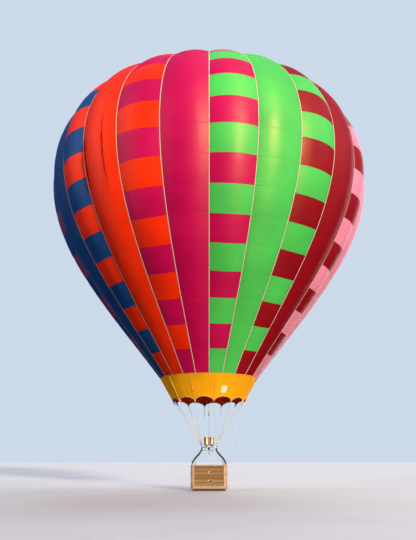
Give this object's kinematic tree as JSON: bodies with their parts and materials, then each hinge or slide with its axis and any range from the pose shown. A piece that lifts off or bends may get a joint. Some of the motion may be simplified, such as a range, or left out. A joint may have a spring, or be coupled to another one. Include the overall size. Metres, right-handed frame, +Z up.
{
  "type": "hot air balloon",
  "caption": "Hot air balloon with a gored envelope, skirt, rigging, gimballed burner and wicker basket; warm air lifts it.",
  "frame": {"origin": "on the balloon's upright axis, in the middle of the warm air that carries it, 15 m above the ground under the basket", "axes": "+Z up, -Y out of the long front side of the basket, +X to the right of someone who looks at that side"},
  "size_m": [16.8646, 16.8646, 21.9369],
  "materials": {
    "ripstop_magenta": "coated ripstop nylon with a soft sheen",
    "checks_magenta_and_green": "coated ripstop nylon, sewn checks of two colours",
    "ripstop_green": "coated ripstop nylon with a soft sheen",
    "checks_green_and_dark_red": "coated ripstop nylon, sewn checks of two colours",
    "ripstop_dark_red": "coated ripstop nylon with a soft sheen",
    "checks_dark_red_and_pink": "coated ripstop nylon, sewn checks of two colours",
    "ripstop_pink": "coated ripstop nylon with a soft sheen",
    "checks_pink_and_yellow": "coated ripstop nylon, sewn checks of two colours",
    "ripstop_yellow": "coated ripstop nylon with a soft sheen",
    "checks_yellow_and_turquoise": "coated ripstop nylon, sewn checks of two colours",
    "ripstop_turquoise": "coated ripstop nylon with a soft sheen",
    "checks_turquoise_and_red": "coated ripstop nylon, sewn checks of two colours",
    "ripstop_red": "coated ripstop nylon with a soft sheen",
    "checks_red_and_sky_blue": "coated ripstop nylon, sewn checks of two colours",
    "ripstop_sky_blue": "coated ripstop nylon with a soft sheen",
    "checks_sky_blue_and_violet": "coated ripstop nylon, sewn checks of two colours",
    "ripstop_violet": "coated ripstop nylon with a soft sheen",
    "checks_violet_and_purple": "coated ripstop nylon, sewn checks of two colours",
    "ripstop_purple": "coated ripstop nylon with a soft sheen",
    "checks_purple_and_blue": "coated ripstop nylon, sewn checks of two colours",
    "ripstop_blue": "coated ripstop nylon with a soft sheen",
    "checks_blue_and_orange": "coated ripstop nylon, sewn checks of two colours",
    "ripstop_orange": "coated ripstop nylon with a soft sheen",
    "checks_orange_and_magenta": "coated ripstop nylon, sewn checks of two colours",
    "tape": "woven polyester webbing",
    "polished_steel": "satin stainless steel",
    "valve_cloth": "coated ripstop nylon",
    "red_line": "braided line with a plastic handle",
    "skirt_cloth": "flame-proof woven cloth, light shows through",
    "wire_sleeve": "steel wire in a woven sleeve",
    "upright_sleeve": "padded woven nylon sleeve with a zip",
    "brass_valve": "worn brass",
    "can_steel": "heat-tinted stainless steel",
    "cylinder_metal": "brushed aluminium",
    "hose_rubber": "black braided rubber hose",
    "wicker": "woven willow and cane, oiled",
    "floor_board": "plywood board",
    "rim_leather": "tan suede over padding, laced",
    "skid_wood": "dark worn hardwood",
    "rope": "braided rope"
  },
  "bodies": {
    "root": {"gore_magenta": "ripstop_magenta", "gore_magenta_and_green": "checks_magenta_and_green", "gore_green": "ripstop_green", "gore_green_and_dark_red": "checks_green_and_dark_red", "gore_dark_red": "ripstop_dark_red", "gore_dark_red_and_pink": "checks_dark_red_and_pink", "gore_pink": "ripstop_pink", "gore_pink_and_yellow": "checks_pink_and_yellow", "gore_yellow": "ripstop_yellow", "gore_yellow_and_turquoise": "checks_yellow_and_turquoise", "gore_turquoise": "ripstop_turquoise", "gore_turquoise_and_red": "checks_turquoise_and_red", "gore_red": "ripstop_red", "gore_red_and_sky_blue": "checks_red_and_sky_blue", "gore_sky_blue": "ripstop_sky_blue", "gore_sky_blue_and_violet": "checks_sky_blue_and_violet", "gore_violet": "ripstop_violet", "gore_violet_and_purple": "checks_violet_and_purple", "gore_purple": "ripstop_purple", "gore_purple_and_blue": "checks_purple_and_blue", "gore_blue": "ripstop_blue", "gore_blue_and_orange": "checks_blue_and_orange", "gore_orange": "ripstop_orange", "gore_orange_and_magenta": "checks_orange_and_magenta", "load_tapes": "tape", "crown_ring": "polished_steel", "mouth_skirt": "skirt_cloth", "flying_wires_front_right": "wire_sleeve", "karabiner_front_right": "polished_steel", "upright_front_right": "upright_sleeve", "flying_wires_back_right": "wire_sleeve", "karabiner_back_right": "polished_steel", "upright_back_right": "upright_sleeve", "flying_wires_back_left": "wire_sleeve", "karabiner_back_left": "polished_steel", "upright_back_left": "upright_sleeve", "flying_wires_front_left": "wire_sleeve", "karabiner_front_left": "polished_steel", "upright_front_left": "upright_sleeve", "load_frame": "polished_steel", "fuel_cylinder_left": "cylinder_metal", "fuel_hose_left": "hose_rubber", "fuel_cylinder_right": "cylinder_metal", "fuel_hose_right": "hose_rubber", "basket_wall": "wicker", "basket_floor": "floor_board", "basket_rim": "rim_leather", "basket_skids": "skid_wood", "hanging_loop": "rope", "turning_vent_line": "rope"},
    "gimbal": {"gimbal_ring": "polished_steel"},
    "burner": {"burner_bar": "polished_steel", "burner_valve_left": "brass_valve", "burner_can_left": "can_steel", "burner_valve_right": "brass_valve", "burner_can_right": "can_steel"},
    "vent_valve": {"parachute_valve": "valve_cloth", "valve_line": "red_line"}
  },
  "joints": [
    {"name": "gimbal_tilt", "type": "hinge", "parent": "root", "child": "gimbal", "pos_m": [0, 0, -13], "axis": [1, 0, 0], "range_deg": [-15, 15]},
    {"name": "burner_tilt", "type": "hinge", "parent": "gimbal", "child": "burner", "pos_m": [0, 0, -13], "axis": [0, 1, 0], "range_deg": [-15, 15]},
    {"name": "vent_valve_slide", "type": "slide", "parent": "root", "child": "vent_valve", "axis": [0, 0, -1], "range_m": [0, 1]}
  ]
}
